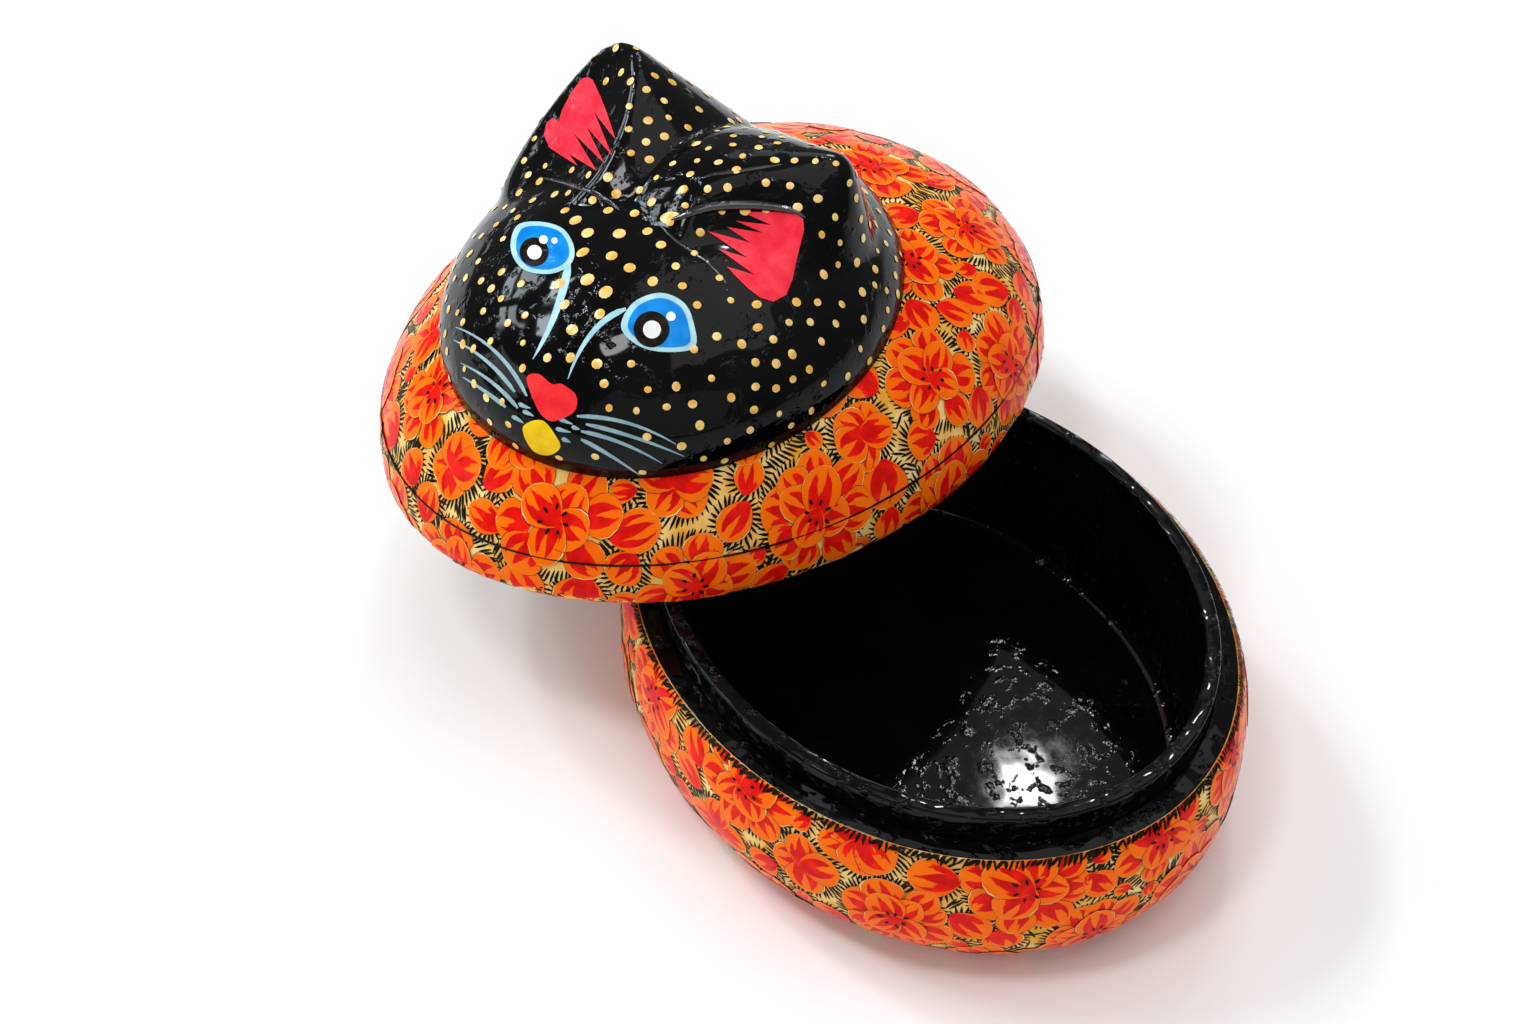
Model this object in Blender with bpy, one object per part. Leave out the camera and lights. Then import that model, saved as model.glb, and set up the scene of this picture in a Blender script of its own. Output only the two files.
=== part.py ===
"""Papier mache trinket box: an oval base with a standing collar, and its lid, lifted off and laid on it.

The lid is a moulded dome on a rim band, and carries a hollow cat's head with two ears.
"""
import math

import bmesh
import bpy
from mathutils import Matrix, Vector

# Driving dimensions, in metres
GLUE_GAP = 0.0003

BASE_LENGTH = 0.160
BASE_WIDTH = 0.133
BELLY_HEIGHT = 0.020
FOOT_INSET = 0.014
LEDGE_HEIGHT = 0.0402
LEDGE_INSET = 0.0044
BOWL_WALL = 0.0083
BOWL_BOTTOM = 0.0036
FLOOR_BOARD = 0.0010

COLLAR_WALL = 0.0035
COLLAR_PROUD = 0.0072
COLLAR_OUTER_ROUND = 0.0014
COLLAR_INNER_ROUND = 0.0006

LID_LENGTH = 0.1780
LID_WIDTH = 0.1480
LID_CLEARANCE = 0.0008
LID_WALL = 0.0045
LID_UNDERCUT = 0.0080
LID_BELLY_HEIGHT = 0.0033
LID_FLANGE = 0.0026
LID_SEAM_HEIGHT = 0.0123
LID_CROWN = 0.0410
LID_FULLNESS = 2.48

LID_SHIFT = -0.0856
LID_TURN = math.radians(104.6)
LID_LEAN = math.radians(-5.0)

HEAD_LENGTH = 0.1190
HEAD_WIDTH = 0.1060
HEAD_HEIGHT = 0.0620
HEAD_WALL = 0.0040
HEAD_FORWARD = 0.0149
HEAD_ASIDE = -0.0025
HEAD_RISE = 0.0330
HEAD_TURN = math.radians(14.6)

EAR_RADIUS = 0.0550
EAR_FLATNESS = 0.90
EAR_TIP_ROUND = 0.0080
EAR_ROOTS = {"left_ear": (0.0020, -0.0020, 0.0020), "right_ear": (0.0020, 0.0020, 0.0020)}
EAR_TIPS = {"left_ear": (0.0315, 0.0284, 0.0444), "right_ear": (0.0158, -0.0373, 0.0368)}

# How finely the curves are divided, and where a smooth surface turns into an edge
OVAL_SIDES = 60
CURVE_STEPS = 4
CROWN_STEPS = 9
CROWN_END = math.radians(87)
BALL_SIDES = 40
BALL_RINGS = 22
EAR_SIDES = 32
CONTACT_STEPS = 720
JOIN_DISTANCE = 0.00001
EDGE_ANGLE = math.radians(40)

ORANGE = (0.86, 0.19, 0.01)
BLACK = (0.006, 0.006, 0.007)
GLOSS = 0.18

for old in list(bpy.data.objects):
    bpy.data.objects.remove(old, do_unlink=True)

# The collar and the lid's opening follow from the bowl, so that the three always fit together
bowl_inside = BOWL_WALL
collar_outside = bowl_inside + GLUE_GAP
collar_inside = collar_outside + COLLAR_WALL
collar_top = LEDGE_HEIGHT + COLLAR_PROUD
floor_level = BOWL_BOTTOM + GLUE_GAP


def base_oval(inset, z):
    """An oval round the base, set in from its widest outline."""
    return BASE_LENGTH / 2 - inset, BASE_WIDTH / 2 - inset, z


def lid_oval(inset, z):
    """An oval round the lid, set in from its widest outline."""
    return LID_LENGTH / 2 - inset, LID_WIDTH / 2 - inset, z


def crown_ovals(swell, start, steps):
    """Ovals up the lid's domed crown from the height start, swollen outwards by swell."""
    half_length, half_width, _ = lid_oval(-swell, 0)
    crown = LID_CROWN + swell
    first = math.asin(max(0.0, (start - LID_BELLY_HEIGHT) / crown))
    ovals = []
    for step in range(steps + 1):
        angle = first + (CROWN_END - first) * step / steps
        share = (1 - math.sin(angle) ** 2) ** (1 / LID_FULLNESS)
        ovals.append((half_length * share, half_width * share, LID_BELLY_HEIGHT + crown * math.sin(angle)))
    return ovals


def loft(name, ovals, ring=False):
    """A closed solid through a chain of ovals: a ring of that section, or a chain capped at both ends."""
    bm = bmesh.new()
    first = ovals[0]
    verts = bmesh.ops.create_circle(bm, segments=OVAL_SIDES, radius=1.0)["verts"]
    bmesh.ops.scale(bm, vec=(first[0], first[1], 1.0), verts=verts)
    bmesh.ops.translate(bm, vec=(0, 0, first[2]), verts=verts)
    first_edges = edges = list(bm.edges)
    chain = ovals + [first] if ring else ovals
    for last, oval in zip(chain, chain[1:]):
        made = bmesh.ops.extrude_edge_only(bm, edges=edges)["geom"]
        verts = [item for item in made if isinstance(item, bmesh.types.BMVert)]
        edges = [item for item in made if isinstance(item, bmesh.types.BMEdge) and not item.is_wire
                 and all(end in verts for end in item.verts)]
        bmesh.ops.scale(bm, vec=(oval[0] / last[0], oval[1] / last[1], 1.0), verts=verts)
        bmesh.ops.translate(bm, vec=(0, 0, oval[2] - last[2]), verts=verts)
    if ring:
        bmesh.ops.remove_doubles(bm, verts=bm.verts, dist=JOIN_DISTANCE)
    else:
        bmesh.ops.edgeloop_fill(bm, edges=first_edges)
        bmesh.ops.edgeloop_fill(bm, edges=edges)
    return finish(name, bm)


def finish(name, bm):
    """Turn a bmesh into a named, smoothly shaded object with its faces pointing out."""
    bmesh.ops.recalc_face_normals(bm, faces=bm.faces)
    mesh = bpy.data.meshes.new(name)
    bm.to_mesh(mesh)
    bm.free()
    mesh.shade_smooth()
    mesh.set_sharp_from_angle(angle=EDGE_ANGLE)
    piece = bpy.data.objects.new(name, mesh)
    bpy.context.scene.collection.objects.link(piece)
    return piece


def carrier(name, parent=None):
    """An empty that places the pieces that hang on it."""
    empty = bpy.data.objects.new(name, None)
    bpy.context.scene.collection.objects.link(empty)
    empty.parent = parent
    return empty


def lacquer(piece, colour):
    """Glossy painted lacquer, in a material of the piece's own."""
    material = bpy.data.materials.new(piece.name + "_lacquer")
    material.use_nodes = True
    shader = material.node_tree.nodes["Principled BSDF"]
    shader.inputs["Base Color"].default_value = (*colour, 1.0)
    shader.inputs["Roughness"].default_value = GLOSS
    shader.inputs["Metallic"].default_value = 0.0
    piece.data.materials.append(material)


def cut(piece, cutter):
    """Cut one shape away from a piece, and keep the cutter as a guide."""
    cutter.hide_render = True
    cutter.display_type = "WIRE"
    boolean = piece.modifiers.new("cut_by_" + cutter.name, "BOOLEAN")
    boolean.operation = "DIFFERENCE"
    boolean.solver = "EXACT"
    boolean.object = cutter


def quarter(outer, inner, start, end):
    """Quarter-round steps: inset from outer to inner while the height goes from start to end."""
    section = []
    for step in range(CURVE_STEPS + 1):
        angle = math.pi / 2 * step / CURVE_STEPS
        inset = outer + (inner - outer) * (1 - math.cos(angle))
        section.append((inset, start + (end - start) * math.sin(angle)))
    return section


def base_bowl():
    """Moulded bowl: a flat foot, a round belly, a soft shoulder and a flat ledge for the lid."""
    ovals = [base_oval(inset, z) for inset, z in reversed(quarter(0, FOOT_INSET, BELLY_HEIGHT, 0))]
    ovals += [base_oval(inset, z) for inset, z in quarter(0, LEDGE_INSET, BELLY_HEIGHT, LEDGE_HEIGHT)[1:]]
    ovals += [base_oval(bowl_inside, LEDGE_HEIGHT), base_oval(bowl_inside, BOWL_BOTTOM)]
    return loft("base_bowl", ovals)


def base_collar():
    """Pasteboard strip that lines the bowl and stands proud of it, to hold the lid in place."""
    outer_shoulder = collar_top - COLLAR_OUTER_ROUND
    inner_shoulder = collar_top - COLLAR_INNER_ROUND
    outer = quarter(collar_outside, collar_outside + COLLAR_OUTER_ROUND, outer_shoulder, collar_top)
    inner = quarter(collar_inside, collar_inside - COLLAR_INNER_ROUND, inner_shoulder, collar_top)
    section = [(collar_outside, floor_level)] + outer + inner[::-1] + [(collar_inside, floor_level)]
    return loft("base_collar", [base_oval(inset, z) for inset, z in section], ring=True)


def floor_board():
    """Thin board on the bowl's bottom, inside the collar."""
    inset = collar_inside + GLUE_GAP
    return loft("floor_board", [base_oval(inset, floor_level), base_oval(inset, floor_level + FLOOR_BOARD)])


def lid_opening(z):
    """The hole in the lid's underside, which slips over the collar."""
    return base_oval(collar_outside - LID_CLEARANCE, z)


def lid_rim_band():
    """Band round the lid's lower edge, turned in below to a flat flange that rests on the ledge."""
    ovals = [lid_opening(0)]
    ovals += [lid_oval(inset, z) for inset, z in reversed(quarter(0, LID_UNDERCUT, LID_BELLY_HEIGHT, 0))]
    side = crown_ovals(0, LID_BELLY_HEIGHT, CROWN_STEPS * 2)
    ovals += [oval for oval in side if LID_BELLY_HEIGHT < oval[2] < LID_SEAM_HEIGHT - GLUE_GAP]
    half_length, half_width, _ = crown_ovals(0, LID_SEAM_HEIGHT, 1)[0]
    ovals.append((half_length, half_width, LID_SEAM_HEIGHT))
    ovals.append((half_length - LID_WALL, half_width - LID_WALL, LID_SEAM_HEIGHT))
    ovals.append((half_length - LID_WALL, half_width - LID_WALL, LID_FLANGE))
    ovals.append(lid_opening(LID_FLANGE))
    return loft("lid_rim_band", ovals, ring=True)


def lid_dome():
    """Moulded dome above the seam, hollow below."""
    outer = crown_ovals(0, LID_SEAM_HEIGHT + GLUE_GAP, CROWN_STEPS)
    inner = crown_ovals(-LID_WALL, LID_SEAM_HEIGHT + GLUE_GAP, CROWN_STEPS)
    return loft("lid_dome", outer[::-1] + inner)


def head_ball(name, swell):
    """An egg-shaped solid the size of the head, swollen outwards by swell."""
    bm = bmesh.new()
    bmesh.ops.create_uvsphere(bm, u_segments=BALL_SIDES, v_segments=BALL_RINGS, radius=0.5)
    size = [extent + 2 * swell for extent in (HEAD_LENGTH, HEAD_WIDTH, HEAD_HEIGHT)]
    bmesh.ops.scale(bm, vec=size, verts=bm.verts)
    return finish(name, bm)


def ear(name):
    """A blunt cone with a round root inside the head, leaning to a tip that stands off its centre."""
    root, tip = Vector(EAR_ROOTS[name]), Vector(EAR_TIPS[name])
    rise = tip - root
    slant = math.atan2(rise.z, EAR_RADIUS - EAR_TIP_ROUND)
    bm = bmesh.new()
    profile = [bm.verts.new((0, 0, rise.z))]
    for step in range(1, CURVE_STEPS + 1):
        angle = slant * step / CURVE_STEPS
        drop = EAR_TIP_ROUND * (1 - math.cos(angle))
        profile.append(bm.verts.new((EAR_TIP_ROUND * math.sin(angle), 0, rise.z - drop)))
    profile.append(bm.verts.new((EAR_RADIUS, 0, 0)))
    profile.append(bm.verts.new((0, 0, 0)))
    edges = [bm.edges.new(pair) for pair in zip(profile, profile[1:])]
    bmesh.ops.spin(bm, geom=profile + edges, cent=(0, 0, 0), axis=(0, 0, 1), angle=math.tau,
                   steps=EAR_SIDES, use_merge=True)
    bmesh.ops.remove_doubles(bm, verts=bm.verts, dist=JOIN_DISTANCE)
    bmesh.ops.scale(bm, vec=(1.0, EAR_FLATNESS, 1.0), verts=bm.verts)
    lean = Matrix.Shear("XY", 4, (rise.x / rise.z, rise.y / rise.z))
    bmesh.ops.transform(bm, matrix=lean, verts=bm.verts)
    piece = finish(name, bm)
    piece.location = root
    return piece


def parting_block(name, side):
    """The far half of the head, past the groove where the two ears meet."""
    bm = bmesh.new()
    bmesh.ops.create_cube(bm, size=2 * HEAD_LENGTH)
    bmesh.ops.translate(bm, vec=(0, side * (HEAD_LENGTH - GLUE_GAP / 2), 0), verts=bm.verts)
    return finish(name, bm)


def resting_height():
    """Height of the lid's underside at its centre when its flange touches the collar's top."""
    slope = math.tan(-LID_LEAN)
    opening = lid_opening(0)
    flange = lid_oval(LID_UNDERCUT, 0)
    into_lid = Matrix.Rotation(-LID_TURN, 4, "Z")
    lowest = 0.0
    for inset in (collar_outside + COLLAR_OUTER_ROUND, collar_inside - COLLAR_INNER_ROUND):
        half_length, half_width, _ = base_oval(inset, 0)
        for step in range(CONTACT_STEPS):
            angle = math.tau * step / CONTACT_STEPS
            x = half_length * math.cos(angle) - LID_SHIFT
            spot = into_lid @ Vector((x * math.cos(LID_LEAN), half_width * math.sin(angle), 0))
            beyond_hole = math.hypot(spot.x / opening[0], spot.y / opening[1]) > 1
            under_flange = math.hypot(spot.x / flange[0], spot.y / flange[1]) < 1
            if beyond_hole and under_flange:
                lowest = max(lowest, collar_top - x * slope)
    return lowest + GLUE_GAP


for piece in (base_bowl(), base_collar(), floor_board()):
    lacquer(piece, ORANGE if piece.name == "base_bowl" else BLACK)

# The lid hangs on a carrier on its lifting axis, leaning along the base's length
lid = carrier("lid_carrier")
lid.location = (LID_SHIFT, 0, resting_height())
lid.rotation_mode = "ZYX"
lid.rotation_euler = (0, LID_LEAN, LID_TURN)

for piece in (lid_rim_band(), lid_dome()):
    piece.parent = lid
    lacquer(piece, ORANGE)

head_seat = carrier("head_seat", lid)
head_seat.location = (-HEAD_FORWARD, HEAD_ASIDE, HEAD_RISE)
head_seat.rotation_euler = (0, 0, HEAD_TURN)

swollen_crown = crown_ovals(GLUE_GAP, LID_BELLY_HEIGHT, CROWN_STEPS * 2)
crown_guide = loft("crown_guide", [lid_oval(-GLUE_GAP, 0)] + swollen_crown)
crown_guide.parent = lid
head_guide = head_ball("head_guide", GLUE_GAP)
hollow_guide = head_ball("hollow_guide", -HEAD_WALL)
head = head_ball("cat_head", 0)
for piece in (head_guide, hollow_guide, head):
    piece.parent = head_seat
cut(head, hollow_guide)
cut(head, crown_guide)
lacquer(head, BLACK)

for name, tip in EAR_TIPS.items():
    piece = ear(name)
    parting = parting_block(name + "_parting", -math.copysign(1, tip[1]))
    for part in (piece, parting):
        part.parent = head_seat
    cut(piece, head_guide)
    cut(piece, crown_guide)
    cut(piece, parting)
    lacquer(piece, BLACK)
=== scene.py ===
import math

import bmesh
import bpy
import numpy as np
from mathutils import Matrix, Vector
from mathutils.bvhtree import BVHTree


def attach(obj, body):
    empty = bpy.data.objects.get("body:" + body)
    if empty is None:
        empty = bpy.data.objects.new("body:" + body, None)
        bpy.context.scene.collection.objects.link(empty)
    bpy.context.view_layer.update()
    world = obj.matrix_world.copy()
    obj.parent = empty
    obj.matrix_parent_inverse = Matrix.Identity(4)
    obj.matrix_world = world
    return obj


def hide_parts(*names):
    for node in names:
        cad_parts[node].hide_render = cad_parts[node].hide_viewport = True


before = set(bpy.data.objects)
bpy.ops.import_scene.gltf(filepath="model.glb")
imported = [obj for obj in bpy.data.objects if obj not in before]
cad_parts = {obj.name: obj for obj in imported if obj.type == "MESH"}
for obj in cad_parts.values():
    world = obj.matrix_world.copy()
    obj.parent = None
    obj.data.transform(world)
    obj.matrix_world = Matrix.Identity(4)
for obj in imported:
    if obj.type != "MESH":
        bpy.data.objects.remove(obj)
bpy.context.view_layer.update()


# The bowl: an oval of paper pulp pressed over a mould, dried, sanded smooth and painted.
# It stands on a flat foot, swells to a belly, and ends in a flat black ledge that the lid sits on.
BASE_HALF = (0.080, 0.0665)
BELLY_HEIGHT = 0.020
FOOT_INSET = 0.014
LEDGE_HEIGHT = 0.0402
LEDGE_INSET = 0.0044
COLLAR_INSET = 0.0086
BOWL_BOTTOM = 0.0036
GLUE_GAP = 0.0003
OVAL_SIDES = 160
WALL_STEPS = 14
WELD = 0.000001
SHARP_ANGLE = math.radians(50)
DEEP_BLACK, SOFT_BLACK = (0.0006, 0.0006, 0.0007), (0.0020, 0.0020, 0.0024)
GOLD, PALE_GOLD = (0.80, 0.36, 0.028), (0.94, 0.68, 0.26)


def quarter(outer, inner, start, end, steps):
    """Quarter-round steps: the inset goes from outer to inner while the height goes from start to end."""
    section = []
    for step in range(steps + 1):
        angle = math.pi / 2 * step / steps
        section.append((outer + (inner - outer) * (1 - math.cos(angle)), start + (end - start) * math.sin(angle)))
    return section


def base_ovals(section):
    """The ovals of a section of insets and heights, set in from the base's widest outline."""
    return [(BASE_HALF[0] - inset, BASE_HALF[1] - inset, z) for inset, z in section]


def next_loop(bm, edges):
    """Draw a loop of edges out into a new one, and return the new points and edges."""
    made = bmesh.ops.extrude_edge_only(bm, edges=edges)["geom"]
    verts = [item for item in made if isinstance(item, bmesh.types.BMVert)]
    fresh = set(verts)
    return verts, [item for item in made if isinstance(item, bmesh.types.BMEdge) and fresh.issuperset(item.verts)]


def loft(ovals, ring=False, place=Matrix()):
    """A skin through a chain of ovals: closed on itself as a ring, or capped at both ends."""
    bm = bmesh.new()
    first = ovals[0]
    verts = bmesh.ops.create_circle(bm, segments=OVAL_SIDES, radius=1.0)["verts"]
    bmesh.ops.scale(bm, vec=(first[0], first[1], 1.0), verts=verts)
    bmesh.ops.translate(bm, vec=(0, 0, first[2]), verts=verts)
    first_edges = edges = list(bm.edges)
    chain = ovals + [first] if ring else ovals
    for last, oval in zip(chain, chain[1:]):
        verts, edges = next_loop(bm, edges)
        bmesh.ops.scale(bm, vec=(oval[0] / last[0], oval[1] / last[1], 1.0), verts=verts)
        bmesh.ops.translate(bm, vec=(0, 0, oval[2] - last[2]), verts=verts)
    if ring:
        bmesh.ops.remove_doubles(bm, verts=bm.verts, dist=WELD)
    else:
        bmesh.ops.edgeloop_fill(bm, edges=first_edges)
        bmesh.ops.edgeloop_fill(bm, edges=edges)
    bmesh.ops.recalc_face_normals(bm, faces=bm.faces)
    bmesh.ops.transform(bm, matrix=place, verts=bm.verts)
    return bm


def piece(name, bm, body, slot, *materials):
    """Turn a bmesh into a smoothly shaded piece that rides on a body."""
    mesh = bpy.data.meshes.new(name)
    bm.to_mesh(mesh)
    bm.free()
    mesh.shade_smooth()
    mesh.set_sharp_from_angle(angle=SHARP_ANGLE)
    for material in materials:
        mesh.materials.append(material)
    made = bpy.data.objects.new(name, mesh)
    bpy.context.scene.collection.objects.link(made)
    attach(made, body)
    return made


def node(tree, kind, inputs, **settings):
    """Add a shader node, with its inputs set to a value or joined to another node's output."""
    made = tree.nodes.new(kind)
    for key, value in settings.items():
        setattr(made, key, value)
    for key, value in inputs.items():
        if isinstance(value, bpy.types.NodeSocket):
            tree.links.new(value, made.inputs[key])
        else:
            made.inputs[key].default_value = value
    return made


def paint_tree(name):
    """A new material's node tree, with its Object coordinates."""
    material = bpy.data.materials.new(name)
    material.use_nodes = True
    tree = material.node_tree
    return material, tree, node(tree, "ShaderNodeTexCoord", {}).outputs["Object"]


def drift(tree, where, scale, low, high):
    """Two tones of one colour that wander into each other, as in brushed paint."""
    noise = node(tree, "ShaderNodeTexNoise", {"Vector": where, "Scale": scale, "Detail": 3.0})
    tones = node(tree, "ShaderNodeValToRGB", {"Fac": noise.outputs["Fac"]})
    tones.color_ramp.elements[0].position = 0.36
    tones.color_ramp.elements[1].position = 0.64
    tones.color_ramp.elements[0].color = (*low, 1.0)
    tones.color_ramp.elements[1].color = (*high, 1.0)
    return tones.outputs["Color"]


def glaze(tree, colour, where, ripple=0.12, gloss=0.18, shine=0.05, dent=0.12):
    """A clear lacquer gloss over the colour, with the slow ripples and small dents of hand-moulded pulp."""
    shader = tree.nodes["Principled BSDF"]
    waves = node(tree, "ShaderNodeTexNoise", {"Vector": where, "Scale": 85.0, "Detail": 1.0})
    pits = node(tree, "ShaderNodeTexNoise", {"Vector": where, "Scale": 330.0, "Detail": 3.0})
    dents = node(tree, "ShaderNodeMapRange", {"Value": pits.outputs["Fac"], 1: 0.56, 2: 0.72})
    rough = node(tree, "ShaderNodeMapRange", {"Value": pits.outputs["Fac"], 3: gloss - 0.05, 4: gloss + 0.05})
    soft = node(tree, "ShaderNodeBump", {"Height": waves.outputs["Fac"], "Strength": ripple, "Distance": 0.006})
    fine = node(tree, "ShaderNodeBump", {"Height": dents.outputs["Result"], "Strength": dent, "Distance": 0.0012,
                                         "Normal": soft.outputs["Normal"]})
    tree.links.new(colour, shader.inputs["Base Color"])
    tree.links.new(rough.outputs["Result"], shader.inputs["Roughness"])
    tree.links.new(fine.outputs["Normal"], shader.inputs["Normal"])
    shader.inputs["Specular IOR Level"].default_value = shine


def black_paint(name, ripple, dent, gloss, shine):
    """Black lacquer, smoother or rougher with the pulp below it."""
    material, tree, where = paint_tree(name)
    black = drift(tree, where, 60.0, DEEP_BLACK, SOFT_BLACK)
    glaze(tree, black, where, ripple, gloss, shine, dent)
    return material


gold_ground, tree, where = paint_tree("gold_ground")
glaze(tree, drift(tree, where, 140.0, GOLD, PALE_GOLD), where)

black_lacquer = black_paint("black_lacquer", 0.09, 0.15, 0.06, 0.15)
edge_lacquer = black_paint("edge_lacquer", 0.20, 0.60, 0.06, 0.13)

base_wall = quarter(0, FOOT_INSET, BELLY_HEIGHT, 0, WALL_STEPS)[::-1]
base_wall += quarter(0, LEDGE_INSET, BELLY_HEIGHT, LEDGE_HEIGHT, WALL_STEPS)[1:]
bowl_inside = [(COLLAR_INSET - GLUE_GAP, LEDGE_HEIGHT), (COLLAR_INSET - GLUE_GAP, BOWL_BOTTOM)]
bm = loft(base_ovals(base_wall + bowl_inside))
for face in bm.faces:
    flat_top = face.normal.z > 0.9 and face.calc_center_median().z > LEDGE_HEIGHT - 0.0002
    face.material_index = 1 if flat_top else 0
bowl = piece("bowl", bm, "base", "flowered_lacquer", gold_ground, edge_lacquer)
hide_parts("base_bowl")


# The flowers on the bowl: orange petals with red flame hearts, laid over the gold ground by brush.
# Short black strokes fill the gold between them, and a pale gold line round each petal's outer edge is partly the last
# brush line and partly a painted highlight.
PETAL_LIFT, LAYER_LIFT = 0.00014, 0.00002
HATCH_LIFT, TOP_LIFT = 0.00006, 0.00050
HATCH_ROWS, HATCH_ROW_STEP, HATCH_STEP = 5, 0.0032, 0.00106
HATCH_SLANT, HATCH_MARGIN = 0.40, 0.006
PETAL_CELLS, DASH_CELLS = (6, 8), (1, 3)
SHEET = 4
FLAT_CELL = 1e-10


def wall_skin(ovals, place=Matrix()):
    """Ways over a lofted wall: a function from angles round it and lengths up it to points and outward normals."""
    along, across, height = np.array(ovals).T
    climb = np.concatenate([[0], np.cumsum(np.hypot(np.diff(along + across) / 2, np.diff(height)))])
    turn, shift = np.array(place.to_3x3()), np.array(place.translation)

    def spread(angle, up):
        half = [np.interp(up, climb, axis) for axis in (along, across)]
        return np.hypot(half[0] * np.sin(angle), half[1] * np.cos(angle))

    def point(angle, up, lift):
        reach = 0.0006
        up = np.clip(up, reach, climb[-1] - reach)
        a, b, z = [np.interp(up, climb, axis) for axis in (along, across, height)]
        da, db, dz = [np.interp(up + reach, climb, axis) - np.interp(up - reach, climb, axis)
                      for axis in (along, across, height)]
        cos, sin = np.cos(angle), np.sin(angle)
        round_way = np.stack([-a * sin, b * cos, 0 * z], -1)
        up_way = np.stack([da * cos, db * sin, dz], -1)
        normal = np.cross(round_way, up_way)
        normal /= np.linalg.norm(normal, axis=-1, keepdims=True)
        spot = np.stack([a * cos, b * sin, z], -1) + normal * lift[..., None]
        return spot @ turn.T + shift

    return spread, point, climb[-1]


def paint_strokes(name, strokes, cells, outline, skin, body, slot, material):
    """Lay brush strokes on a wall, each a small grid drawn to its outline and bent to the wall's curve."""
    spread, point, _ = skin
    bm = bmesh.new()
    bm.loops.layers.uv.new("brush")
    bmesh.ops.create_grid(bm, x_segments=cells[0], y_segments=cells[1], size=1.0, calc_uvs=True)
    side = np.array([vert.co.x for vert in bm.verts])
    step = np.array([vert.co.y / 2 + 0.5 for vert in bm.verts])
    touch = bpy.data.meshes.new(name + "_touch")
    bm.to_mesh(touch)
    for _ in strokes[1:]:
        bm.from_mesh(touch)
    bpy.data.meshes.remove(touch)
    angle, up, turn, length, width, lift, tone = [column[:, None] for column in np.array(strokes).T]
    x, y = outline(side, step)
    x, y = x * width / 2, y * length
    x, y = x * np.cos(turn) + y * np.sin(turn), y * np.cos(turn) - x * np.sin(turn)
    height = up + y
    spots = point(angle + x / spread(angle, height), height, lift + 0 * height).reshape(-1, 3)
    for vert, spot in zip(bm.verts, spots):
        vert.co = spot
    made = piece(name, bm, body, slot, material)
    # Each stroke has one of sixteen tones, and one of sixteen places on the sheet that its finish is kept on
    mesh = made.data
    brush = np.zeros(len(mesh.loops) * 2)
    mesh.uv_layers["brush"].data.foreach_get("uv", brush)
    brush = brush.reshape(-1, 2)
    stroke = np.arange(len(brush)) // (len(brush) // len(strokes))
    tones = mesh.uv_layers.new(name="tone")
    cell = stroke % SHEET ** 2
    tones.data.foreach_set("uv", np.stack([cell / SHEET ** 2 + 0.01, tone.ravel()[cell]], -1).ravel())
    sheet = mesh.uv_layers.new(name="OFBake")
    corner = np.stack([cell % SHEET, cell // SHEET], -1)
    sheet.data.foreach_set("uv", ((corner + 0.06 + 0.88 * brush) / SHEET).ravel())
    # Strokes cut short at the wall's ends lose the cells that are pressed flat there
    bm = bmesh.new()
    bm.from_mesh(mesh)
    bmesh.ops.dissolve_degenerate(bm, dist=WELD, edges=bm.edges)
    bmesh.ops.delete(bm, geom=[face for face in bm.faces if face.calc_area() < FLAT_CELL], context="FACES")
    bmesh.ops.delete(bm, geom=[vert for vert in bm.verts if not vert.link_faces], context="VERTS")
    bm.to_mesh(mesh)
    bm.free()


def petal_outline(side, step):
    """A round-ended petal, narrow at its root and widest past its middle."""
    y = (1 - np.cos(math.pi * step)) / 2
    return side * np.sin(math.pi * np.clip(y, 0.004, 0.994) ** 1.2) ** 0.54, y


def dash_outline(side, step):
    """A short stroke with pointed ends."""
    return side * np.sin(math.pi * np.clip(step, 0.03, 0.97)) ** 0.5, step - 0.5


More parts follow.
